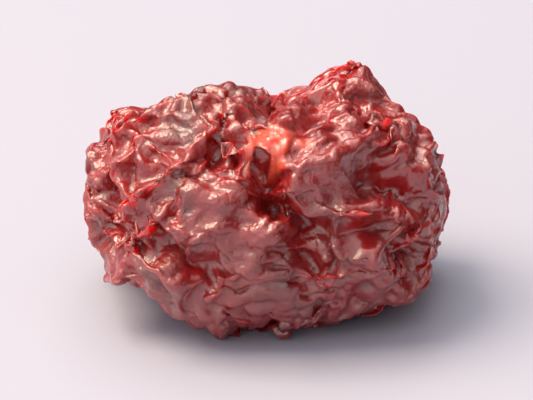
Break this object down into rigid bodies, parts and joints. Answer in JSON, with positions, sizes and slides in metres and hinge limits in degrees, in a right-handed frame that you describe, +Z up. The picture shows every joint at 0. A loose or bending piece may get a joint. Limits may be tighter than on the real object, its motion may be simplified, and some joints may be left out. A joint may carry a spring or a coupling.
{
  "type": "dried cranberry",
  "caption": "Dried cranberry with glossy, deeply wrinkled dark red skin, a cleft between its lobes, a torn blossom end and a pressed flat to rest on.",
  "frame": {"origin": "middle of the box of the berry, at the level of the surface it rests on", "axes": "+X along the berry's longest way, +Z up from the surface it rests on; the torn blossom end looks towards -Y and up"},
  "size_m": [0.0154, 0.0122, 0.0098],
  "materials": {
    "skin": "glossy, sugary and translucent, wrinkled"
  },
  "bodies": {
    "root": {"berry": "skin"}
  },
  "joints": []
}
